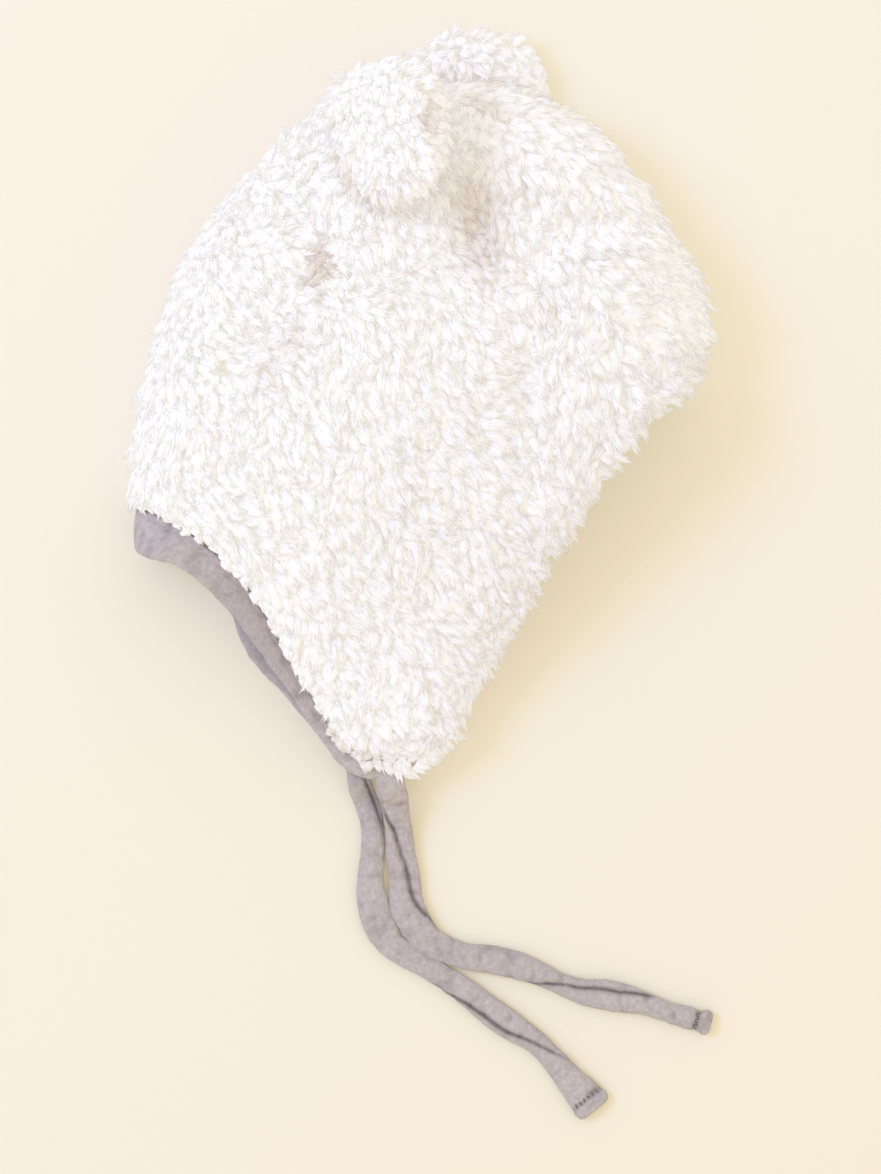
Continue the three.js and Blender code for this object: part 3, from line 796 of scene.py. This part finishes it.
def add_tie(name, node, route, widths, crease, jersey, thread, seed):
    centres, length = along_route(route, TIE_STEP)
    last = len(centres) - 1
    tangents = unit(np.gradient(centres, axis=0))
    rights = unit(np.cross(tangents, (0.0, 0.0, 1.0)))
    ups = np.cross(rights, tangents)
    turns = np.linspace(0, 2 * math.pi, TIE_SIDES, endpoint=False)
    points, cloth, painted_darkening = [], [], []
    for i, centre in enumerate(centres):
        share = i / last
        along = share * length
        half_width = 0.5 * MM * table_at(widths, 1, share)
        crease_place, crease_depth = table_at(crease, 1, share), table_at(crease, 2, share)
        across, up = tie_profile(turns, crease_place, crease_depth)
        end = min(1.0, (length * (1 - share)) / TIE_END + 0.05)
        closing = math.sqrt(1 - (1 - end) ** 2)
        half_thick = 0.5 * TIE_THICKNESS * mix(0.55, 1.0, closing)
        half_width *= mix(0.7, 1.0, closing)
        hem = math.exp(-(((share - HEM_PLACE) * length / HEM_WIDTH) ** 2))
        for k, turn in enumerate(turns):
            long = noise.noise(Vector((along / LONG_RUCK[0], 0.9 * across[k], seed + 0.6 * up[k])))
            fine = noise.noise(Vector((along / FINE_RUCK[0], 1.5 * across[k], 3 * seed)))
            ruck = LONG_RUCK[1] * long + FINE_RUCK[1] * fine - HEM_DEPTH * hem
            high = half_thick * up[k] + ruck * (1.0 if up[k] > -0.2 else 0.3)
            # Painted shade: the crease and the rucks are darkened in the colour.
            in_crease = crease_depth * math.exp(-(((across[k] - crease_place) / CREASE_REACH) ** 2))
            in_ruck = float(smoothstep(0.0, 0.45, -ruck / MM))
            painted_darkening.append(min(1.0, in_crease + RUCK_SHADE * in_ruck))
            wide = half_width * across[k] + 0.5 * ruck * across[k]
            point = centre + rights[i] * wide + ups[i] * high
            points.append((point[0], point[1], max(point[2], TABLE_GAP)))
            cloth.append((along, turn / (2 * math.pi) * 2.2 * TIE_WIDTH))
    obj = mesh_piece(name, points, tube_faces(len(centres), TIE_SIDES), jersey)
    dress_cloth(obj.data, cloth, painted_darkening)
    i = round(HEM_PLACE * last)
    half_width = 0.5 * MM * table_at(widths, 1, HEM_PLACE)
    add_hem_stitches(name + "_stitches", centres[i], rights[i], ups[i], tangents[i], half_width, thread)
    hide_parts(node)


# The backing: the model's own body with its coarse locks shorn off and its faces rounded.


def shear_locks(bm):
    """Takes the tip off every coarse lock, which leaves one four-sided face where it stood."""
    tips = []
    for vertex in bm.verts:
        if len(vertex.link_faces) != 4 or len(vertex.link_edges) != 4:
            continue
        ring = [edge.other_vert(vertex).co for edge in vertex.link_edges]
        middle = sum(ring, Vector()) / 4
        if (vertex.co - middle).length > COARSE_LOCK:
            tips.append(vertex)
    bmesh.ops.dissolve_verts(bm, verts=tips)


def add_backing(material):
    bm = node_bmesh("fleece_body")
    shear_locks(bm)
    for face in bm.faces:
        face.material_index = LOCK_CELL if len(face.verts) == 4 else 0
    mesh = mesh_of(bm, "fleece_backing")
    cells = np.array([polygon.material_index for polygon in mesh.polygons])
    obj = finish_piece("fleece_backing", mesh, material)
    obj.data.materials.append(material)
    obj.data.polygons.foreach_set("material_index", cells)
    round_off(obj, 1)
    for vertex in obj.data.vertices:
        vertex.co.z = max(vertex.co.z, PRESSED_LEVEL)
    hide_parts("fleece_body")
    return obj


def add_ear_pad(name, node, material):
    obj = finish_piece(name, mesh_of(node_bmesh(node), name), material)
    joined = obj.modifiers.new("joined", "REMESH")
    joined.mode = "VOXEL"
    joined.voxel_size = PAD_VOXEL
    calm = obj.modifiers.new("calm", "SMOOTH")
    calm.factor, calm.iterations = PAD_CALM
    apply_modifiers(obj)
    obj.data.polygons.foreach_set("use_smooth", np.ones(len(obj.data.polygons), dtype=bool))
    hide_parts(node)
    return obj


# The pile: locks of tapering strands, rooted evenly over a surface and combed one way.


def surface_triangles(obj, keep):
    """Corners and corner normals of the triangles of the faces that keep says yes to."""
    mesh = obj.data
    mesh.calc_loop_triangles()
    points = np.array([v.co[:] for v in mesh.vertices])
    normals = np.array([n.vector[:] for n in mesh.vertex_normals])
    corners = [t.vertices[:] for t in mesh.loop_triangles if keep(mesh.polygons[t.polygon_index])]
    corners = np.array(corners)
    return points[corners], normals[corners]


def spread_roots(triangles, normals, spacing, rng):
    """Random places over the triangles, none nearer another than the spacing."""
    sides = np.cross(triangles[:, 1] - triangles[:, 0], triangles[:, 2] - triangles[:, 0])
    areas = 0.5 * np.linalg.norm(sides, axis=1)
    count = int(5 * areas.sum() / spacing**2)
    picks = rng.choice(len(areas), size=count, p=areas / areas.sum())
    u, v = rng.random(count), rng.random(count)
    over = u + v > 1
    u[over], v[over] = 1 - u[over], 1 - v[over]
    weights = np.stack([1 - u - v, u, v], axis=1)[:, :, None]
    places = (triangles[picks] * weights).sum(axis=1)
    facing = unit((normals[picks] * weights).sum(axis=1))
    cells = {}
    kept = []
    keys = np.floor(places / spacing).astype(int)
    nearby = [(i, j, k) for i in (-1, 0, 1) for j in (-1, 0, 1) for k in (-1, 0, 1)]
    for n in range(count):
        x, y, z = keys[n]
        place = places[n]
        clear = True
        for i, j, k in nearby:
            for other in cells.get((x + i, y + j, z + k), ()):
                gap = places[other] - place
                if gap @ gap < spacing * spacing:
                    clear = False
                    break
            if not clear:
                break
        if clear:
            cells.setdefault((x, y, z), []).append(n)
            kept.append(n)
    return places[kept], facing[kept]


def combed(roots, normals, rng):
    """The way that each lock is combed, along the surface."""
    drift = np.array([noise.noise(Vector(root) / WIDE_SWIRL[0]) for root in roots])
    swirl = np.array([noise.noise(Vector(root) / SMALL_SWIRL[0] + Vector((5, 0, 0))) for root in roots])
    own = WANDER * rng.normal(size=len(roots))
    angle = np.radians(WIDE_SWIRL[1] * drift + SMALL_SWIRL[1] * swirl + own)
    base = np.tile(COMB, (len(roots), 1))
    for n, root in enumerate(roots):
        share, away = mouth.nearest(root)
        hold = float(1 - smoothstep(*EDGE_COMB_BAND, away)) * float(1 - smoothstep(*EDGE_COMB_END, share))
        base[n] = mix(base[n], mouth.way_at(share, table_at(EDGE_COMB, 1, share)), hold)
        angle[n] *= 1 - 0.7 * hold
    way = np.empty_like(roots)
    way[:, 0] = base[:, 0] * np.cos(angle) - base[:, 1] * np.sin(angle)
    way[:, 1] = base[:, 0] * np.sin(angle) + base[:, 1] * np.cos(angle)
    way[:, 2] = base[:, 2]
    along = way - normals * np.sum(way * normals, axis=1, keepdims=True)
    return unit(along + 1e-6)


def taper(paths, sides, beside, radii, flatness):
    """Closed tapering tubes along many paths at once: their corners, and the faces of one of them."""
    count, stations = paths.shape[:2]
    headings = unit(np.gradient(paths, axis=1))
    corners = np.empty((count, (stations - 1) * sides + 1, 3))
    for k in range(stations - 1):
        other = np.cross(headings[:, k], beside)
        for m in range(sides):
            angle = 2 * math.pi * m / sides
            ring = beside * math.cos(angle) + other * (flatness * math.sin(angle))
            corners[:, k * sides + m] = paths[:, k] + radii[:, k, None] * ring
    corners[:, -1] = paths[:, -1]
    quads, triangles = [], []
    last, tip = (stations - 2) * sides, (stations - 1) * sides
    for m in range(sides):
        after = (m + 1) % sides
        for k in range(stations - 2):
            start = k * sides
            quads.append((start + m, start + after, start + sides + after, start + sides + m))
        triangles.append((last + m, last + after, tip))
    for m in range(1, sides - 1):
        triangles.append((m + 1, m, 0))
    return corners, np.array(quads), np.array(triangles)


def lock_spines(roots, normals, ways, lengths, leans, stations, rng):
    """The middle line of each lock: it stands up at the root and bends over towards its tip."""
    beside = np.cross(normals, ways)
    curl = rng.normal(0, 0.5, len(roots))
    spine = [roots - normals * ROOTED_DEEP]
    for start, end in zip(stations, stations[1:]):
        at = 0.5 * (start + end)
        lean = mix(leans[0], leans[1], at)[:, None]
        turn = (curl * at)[:, None]
        flat = ways * np.cos(turn) + beside * np.sin(turn)
        heading = normals * np.cos(lean) + flat * np.sin(lean)
        spine.append(spine[-1] + heading * (lengths * (end - start))[:, None])
    return np.stack(spine, axis=1), beside


def at_shares(spine, shares):
    """Points on the spines at the given shares, in straight lines between their stations."""
    points = []
    for share in shares:
        k = min(int(np.searchsorted(SPINE_SHARES, share, side="right")) - 1, len(SPINE_SHARES) - 2)
        part = (share - SPINE_SHARES[k]) / (SPINE_SHARES[k + 1] - SPINE_SHARES[k])
        points.append(spine[:, k] + (spine[:, k + 1] - spine[:, k]) * part)
    return np.stack(points, axis=1)


def grow_locks(name, roots, normals, ways, lengths, leans, shade, strands, material, rng):
    """One mesh of all the locks: each a soft tapering body with finer strands that leave it."""
    count = len(roots)
    spine, beside = lock_spines(roots, normals, ways, lengths, leans, SPINE_SHARES, rng)
    girth = BODY_RADIUS * rng.uniform(*GIRTH_SPREAD, count)
    thick = girth[:, None] * BODY_SWELL
    bodies = taper(at_shares(spine, BODY_SHARES), BODY_SIDES, beside, thick, BODY_FLATNESS)

    around = np.arange(strands) * GOLDEN_ANGLE + rng.random((count, 1)) * 2 * math.pi
    reach = girth[:, None] * rng.uniform(0.6, 1.15, (count, strands))
    ups = np.cross(unit(spine[:, 2] - spine[:, 1]), beside)
    sideways = (reach * np.cos(around))[..., None] * beside[:, None]
    offset = sideways + (reach * np.sin(around))[..., None] * ups[:, None]
    stray = rng.normal(0, 1.0, (count, strands, 3)) * STRAY
    stretch = rng.uniform(0.75, 1.15, (count, strands, 1))
    middle = at_shares(spine, STRAND_SHARES)
    paths = np.empty((count, strands, len(STRAND_SHARES), 3))
    for k, share in enumerate(STRAND_SHARES):
        along = roots[:, None] + (middle[:, None, k] - roots[:, None]) * mix(1.0, stretch, share)
        paths[:, :, k] = along + offset * (1 - 0.8 * share) + stray * share**2
    thin = STRAND_RADIUS * rng.uniform(0.7, 1.3, (count * strands, 1)) * STRAND_SWELL
    each = paths.reshape(-1, len(STRAND_SHARES), 3)
    wisps = taper(each, STRAND_SIDES, np.repeat(beside, strands, axis=0), thin, 1.0)

    tone = rng.random(count)
    pieces, quads, triangles, colours = [], [], [], []
    first = 0
    for (corners, quad, triangle), shares, sides in (
        (bodies, BODY_SHARES, BODY_SIDES),
        (wisps, STRAND_SHARES, STRAND_SIDES),
    ):
        number, size = corners.shape[:2]
        starts = first + size * np.arange(number)
        quads.append((starts[:, None, None] + quad[None]).reshape(-1, 4))
        triangles.append((starts[:, None, None] + triangle[None]).reshape(-1, 3))
        # Red is the share along the lock, green its own tone, and blue its painted shade.
        tint = np.ones((number, size, 4))
        tint[..., 0] = np.append(np.repeat(shares[:-1], sides), shares[-1])
        tint[..., 1] = np.repeat(tone, number // count)[:, None]
        tint[..., 2] = np.repeat(shade, number // count)[:, None]
        colours.append(tint.reshape(-1, 4))
        pieces.append(corners.reshape(-1, 3))
        first += number * size
    vertices = np.concatenate(pieces)
    vertices[:, 2] = np.maximum(vertices[:, 2], PILE_CLEARANCE)
    mesh = bulk_mesh(name, vertices, np.concatenate(quads), np.concatenate(triangles))
    layer = mesh.color_attributes.new("pile", "FLOAT_COLOR", "POINT")
    layer.data.foreach_set("color", np.concatenate(colours).ravel())
    return finish_piece(name, mesh, material)


def bulk_mesh(name, vertices, quads, triangles):
    corners = np.concatenate([quads.ravel(), triangles.ravel()]).astype(np.int32)
    sizes = np.concatenate([np.full(len(quads), 4), np.full(len(triangles), 3)])
    mesh = bpy.data.meshes.new(name)
    mesh.vertices.add(len(vertices))
    mesh.vertices.foreach_set("co", vertices.ravel())
    mesh.loops.add(len(corners))
    mesh.loops.foreach_set("vertex_index", corners)
    mesh.polygons.add(len(sizes))
    mesh.polygons.foreach_set("loop_start", np.append(0, np.cumsum(sizes)[:-1]).astype(np.int32))
    mesh.update(calc_edges=True)
    return mesh


def openness(roots, normals, tree, rng):
    """How much of the sky each root sees past the folds and ears, from 0 to 1."""
    seen = np.zeros(len(roots))
    looks = unit(rng.normal(size=(SKY_LOOKS, 3)))
    for n, (root, normal) in enumerate(zip(roots, normals)):
        start = Vector(root + normal * SKY_START)
        free = 0
        for look in looks:
            way = unit(normal + 0.9 * look)
            if tree.ray_cast(start, Vector(way), SKY_REACH)[0] is None:
                free += 1
        seen[n] = free / SKY_LOOKS
    return seen


def averaged(values, places):
    """Each value as the mean over the nearest places, so that it changes softly from lock to lock."""
    tree = point_tree(places)
    means = []
    for place in places:
        means.append(np.mean([values[m] for _, m, _ in tree.find_n(place, SKY_NEIGHBOURS)]))
    return np.array(means)


def brushed(roots):
    """How much of its length each lock keeps beside the cheek's edging, which the pile leaves bare."""
    keeps = np.ones(len(roots))
    for n, root in enumerate(roots):
        share, away = mouth.nearest(root)
        keeps[n] = mix(table_at(BRUSHED_LENGTHS, 1, share), 1.0, float(smoothstep(0.0, BRUSHED_EDGE, away)))
    return keeps


def painted_fold_shade(roots):
    """How much light each lock keeps under the painted shade of the partings and deep folds, from 0 to 1."""
    light = np.ones(len(roots))
    for across, up, length, width, turn, depth in PAINTED_SHADE_SPOTS:
        x = (roots[:, 0] - FLAP_CORNER[0]) / MM - across
        y = (roots[:, 1] - FLAP_CORNER[1]) / MM - up
        along = x * math.cos(math.radians(turn)) + y * math.sin(math.radians(turn))
        aside = y * math.cos(math.radians(turn)) - x * math.sin(math.radians(turn))
        off = (along / length) ** 2 + (aside / width) ** 2
        light *= 1 - depth * np.exp(-(off**PAINTED_SHADE_EDGE))
    return light


def plant(names, surface, keep, spacing, length, lean, material, seed, strands=STRANDS_PER_LOCK):
    """Grows pile on a surface, shared out from the crown down among the named pieces.

    The lean of the locks is in degrees from upright, at the root and at the tip.
    """
    rng = np.random.default_rng(seed)
    triangles, normals = surface_triangles(surface, keep)
    roots, facing = spread_roots(triangles, normals, spacing, rng)
    all_sky = averaged(openness(roots, facing, sky_tree, rng), roots)
    order = np.argsort(-roots[:, 1])
    for name, part in zip(names, np.array_split(order, len(names))):
        ways = combed(roots[part], facing[part], rng)
        lengths = length * rng.uniform(*LENGTH_SPREAD, len(part)) * brushed(roots[part])
        lengths *= 1 + NAPE_LONGER * smoothstep(*NAPE_REACH, roots[part, 0] - FLAP_CORNER[0])
        lean_root = np.radians(rng.normal(lean[0], LEAN_SPREAD[0], len(part)))
        lean_tip = np.radians(rng.normal(lean[1], LEAN_SPREAD[1], len(part)))
        sky = all_sky[part]
        free = sky > BURIED
        place, out, way = roots[part][free], facing[part][free], ways[free]
        leans = (lean_root[free], lean_tip[free])
        # Painted shade: a lock is darkened in colour where it sees little sky and in the partings and deep
        # folds.
        light = mix(0.5, 1.0, sky[free]) * painted_fold_shade(place)
        grown = lengths[free] * smoothstep(-STUNTED, STUNTED, sky[free])
        grow_locks(name, place, out, way, grown, leans, light, strands, material, rng)


# The edging: a folded band of jersey over the cut edge, a little puckered where it is sewn on.


class MouthLine:
    """The near mouth line in plan: how far along it a point lies, and how far from it."""

    def __init__(self):
        self.points, self.length = along_route([(x, y, 0.0) for x, y in MOUTH_LINE], MOUTH_STEP)
        self.tree = point_tree(self.points)

    def nearest(self, point):
        _, i, away = self.tree.find(Vector((point[0], point[1], 0.0)))
        return i / (len(self.points) - 1), away

    def way_at(self, share, out):
        """A way between along the line, for out at 0, and straight out over the edge, for out at 1."""
        i = min(round(share * (len(self.points) - 1)), len(self.points) - 2)
        x, y, _ = unit(self.points[i + 1] - self.points[i])
        return np.array((mix(x, y, out), mix(y, -x, out), COMB[2]))


def on_near_rim(face):
    """Whether a face of the edging is on the near side where the pile hangs over it."""
    share, away = mouth.nearest(face.center)
    is_near = face.center.z > NEAR_BAND_LEVEL and face.normal.z > RIM_TILT
    return is_near and away < MM * table_at(RIM_PILE_REACH, 1, share)


def add_edging(jersey, backing):
    obj = finish_piece("edging_band", mesh_of(node_bmesh("edging"), "edging_band"), jersey)
    round_off(obj, 2)
    mesh = obj.data

    sewn_place, sewn_width, sewn_depth = SEWN_LINE
    cheek, cheek_reach, cheek_depth = CHEEK_DARKER
    normals = [n.vector.copy() for n in mesh.vertex_normals]
    cloth, painted_darkening = [], []
    for vertex, normal in zip(mesh.vertices, normals):
        share, away = mouth.nearest(vertex.co)
        mouth_point = mouth.points[round(share * (len(mouth.points) - 1))]
        along = mouth.length * share
        side = 1.0 if normal.z > 0 else -1.0
        inward, upward = away / PUCKER_ACROSS[0], vertex.co.z / PUCKER_ACROSS[1]
        pucker = noise.noise(Vector((along / PUCKER[0], inward, upward)))
        crumple = noise.noise(vertex.co / CRUMPLE[0] + Vector((3, 1, 4)))
        sewn = math.exp(-(((away - sewn_place) / sewn_width) ** 2))
        vertex.co += normal * (PUCKER[1] * pucker + CRUMPLE[1] * crumple - sewn_depth * sewn)
        vertex.co.z = max(vertex.co.z, TABLE_GAP)
        cloth.append((along, side * (away + 0.5 * MM) + vertex.co.z))
        # Painted shade in the sewn line and the wrinkles; on the cheek the jersey is also a little darker.
        cheek_dark = cheek_depth * math.exp(-(((share - cheek) / cheek_reach) ** 2))
        wrinkled = float(smoothstep(0.1, 0.5, -pucker - 0.5 * crumple))
        painted_darkening.append(min(1.0, cheek_dark + SEWN_SHADE * sewn + WRINKLE_SHADE * wrinkled))
        near = float(smoothstep(NEAR_BAND_LEVEL - BAND_BLEND, NEAR_BAND_LEVEL + BAND_BLEND, vertex.co.z))
        spread = mix(table_at(FAR_BAND_SPREAD, 1, share), table_at(BAND_SPREAD, 1, share), near)
        vertex.co.x = mix(mouth_point[0], vertex.co.x, 1 + spread)
        vertex.co.y = mix(mouth_point[1], vertex.co.y, 1 + spread)
    dress_cloth(mesh, cloth, painted_darkening)
    mesh.update()
    mesh.materials.append(backing)
    for face in mesh.polygons:
        hidden = on_near_rim(face) and mouth.nearest(face.center)[0] > COVERED_START
        face.material_index = 1 if hidden else 0
    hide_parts("edging")
    return obj


# Where the pile grows.


def under_rim_pile(face):
    """Whether a bare face of the body lies along the mouth where the pile hangs over the edging."""
    share, away = mouth.nearest(face.center)
    return face.center.z > NEAR_BAND_LEVEL and away < RIM_PILE_BAND and share > RIM_PILE_START


def on_bare_outside(face):
    """Whether a face without a lock of the model is on the outside of the pouch, clear of the mouth."""
    if face.center.z < BARE_HEIGHT or mouth.nearest(face.center)[1] < BARE_FROM_MOUTH:
        return False
    start = face.center + face.normal * MM
    looks = (face.normal, face.normal + Vector((0.0, 0.0, 1.0)))
    hit = any(body_tree.ray_cast(start, look.normalized(), 3 * SKY_REACH)[0] for look in looks)
    return face.normal.z > NEAR_SIDE_TILT and not hit


def on_near_side(face):
    locked = face.material_index == LOCK_CELL and face.normal.z > NEAR_SIDE_TILT
    return locked or under_rim_pile(face) or on_bare_outside(face)


def on_far_side(face):
    return face.material_index == LOCK_CELL and face.normal.z <= NEAR_SIDE_TILT


def pressed_on_table(face):
    """Whether a face of the body is one of those that the hat lies on."""
    is_low = face.normal.z < PRESSED_TILT and face.center.z < PRESSED_HEIGHT
    return is_low and mouth.nearest(face.center)[1] > PRESSED_FROM_MOUTH


def anywhere(face):
    return True


# The camera and the ties come first, then the light and the table, then the hat from the backing out.

add_camera()
knit = knit_group()
jersey = jersey_material(knit)
thread = thread_material()
add_tie("tie_near_tube", "tie_near", NEAR_TIE_ROUTE, NEAR_TIE_WIDTHS, NEAR_TIE_CREASE, jersey, thread, 2.0)
add_tie("tie_far_tube", "tie_far", FAR_TIE_ROUTE, FAR_TIE_WIDTHS, FAR_TIE_CREASE, jersey, thread, 11.0)
add_lights()
add_table_top()

backing = backing_material()
pile = pile_material()
body = add_backing(backing)
near_pad = add_ear_pad("ear_near_pad", "ear_near", backing)
far_pad = add_ear_pad("ear_far_pad", "ear_far", backing)
mouth = MouthLine()
edging = add_edging(jersey, backing)

sky_tree = surface_tree([body, near_pad, far_pad])
body_tree = surface_tree([body])
plant(
    ["pile_crown", "pile_temple", "pile_cheek", "pile_flap"],
    body,
    on_near_side,
    spacing=LOCK_SPACING,
    length=LOCK_LENGTH,
    lean=(45, 85),
    material=pile,
    seed=PILE_SEED,
)
plant(
    ["pile_far_side"],
    body,
    on_far_side,
    spacing=FAR_SIDE_SPACING,
    length=FAR_SIDE_LENGTH,
    lean=(60, 88),
    material=pile,
    seed=PILE_SEED + 1,
)
plant(
    ["pile_underside"],
    body,
    pressed_on_table,
    spacing=UNDER_SPACING,
    length=LOCK_LENGTH,
    lean=(84, 89),
    material=pile,
    seed=PILE_SEED + 5,
    strands=UNDER_STRANDS,
)
for vertex in bpy.data.objects["pile_underside"].data.vertices:
    vertex.co.z = min(vertex.co.z, UNDER_CEILING)
plant(
    ["pile_rim"],
    edging,
    on_near_rim,
    spacing=RIM_LOCK_SPACING,
    length=RIM_LOCK_LENGTH,
    lean=(58, 82),
    material=pile,
    seed=PILE_SEED + 4,
)
plant(["pile_ear_near"], near_pad, anywhere, NEAR_EAR_SPACING, EAR_LOCK_LENGTH, (35, 80), pile, PILE_SEED + 2)
plant(["pile_ear_far"], far_pad, anywhere, FAR_EAR_SPACING, EAR_LOCK_LENGTH, (35, 75), pile, PILE_SEED + 3)
